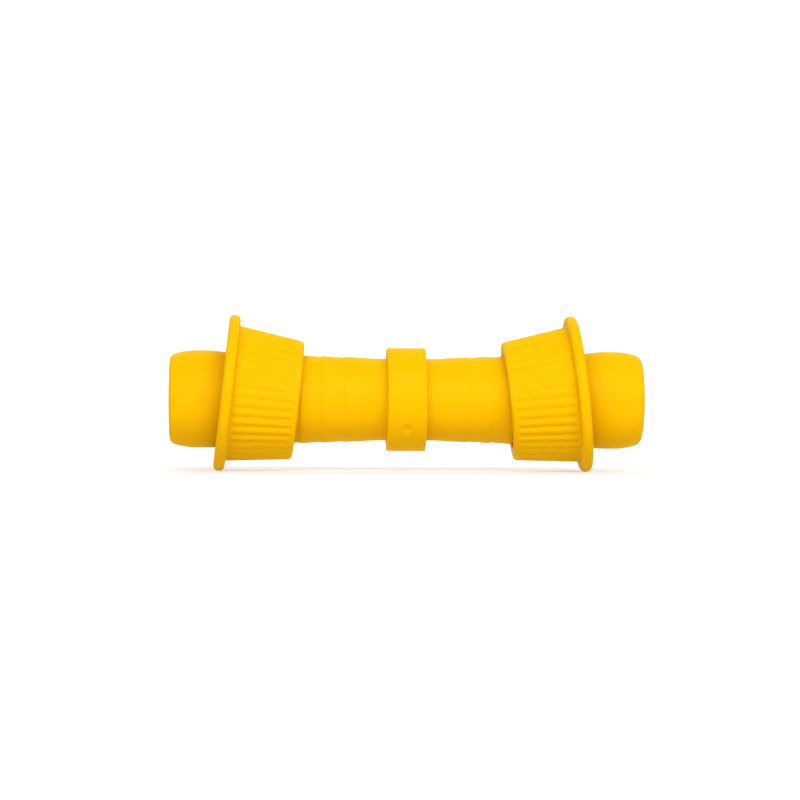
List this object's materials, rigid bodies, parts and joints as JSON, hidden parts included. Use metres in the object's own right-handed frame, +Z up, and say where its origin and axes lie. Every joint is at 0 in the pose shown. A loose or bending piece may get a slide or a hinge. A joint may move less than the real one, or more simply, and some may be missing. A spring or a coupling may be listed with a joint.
{
  "type": "straight lay-flat hose coupling",
  "caption": "Straight hollow coupling that joins thin lay-flat irrigation hoses, each wedged on a bulb by a sliding conical lock ring.",
  "frame": {"origin": "on the barrel's bore axis, in the middle of the collar", "axes": "+X along the barrel towards the right-hand hose end, +Z up when the union stands on its two ring flanges, -Y towards the viewer"},
  "size_m": [0.136, 0.0452, 0.045],
  "materials": {
    "barrel_plastic": "moulded, satin",
    "ring_plastic": "moulded, satin"
  },
  "bodies": {
    "barrel": {"barrel": "barrel_plastic"},
    "left_ring": {"left_ring": "ring_plastic"},
    "right_ring": {"right_ring": "ring_plastic"}
  },
  "joints": [
    {"name": "left_ring_slide", "type": "slide", "parent": "barrel", "child": "left_ring", "axis": [-1, 0, 0], "range_m": [-0.0235, 0.012]},
    {"name": "right_ring_slide", "type": "slide", "parent": "barrel", "child": "right_ring", "axis": [1, 0, 0], "range_m": [-0.0218, 0.015]}
  ]
}
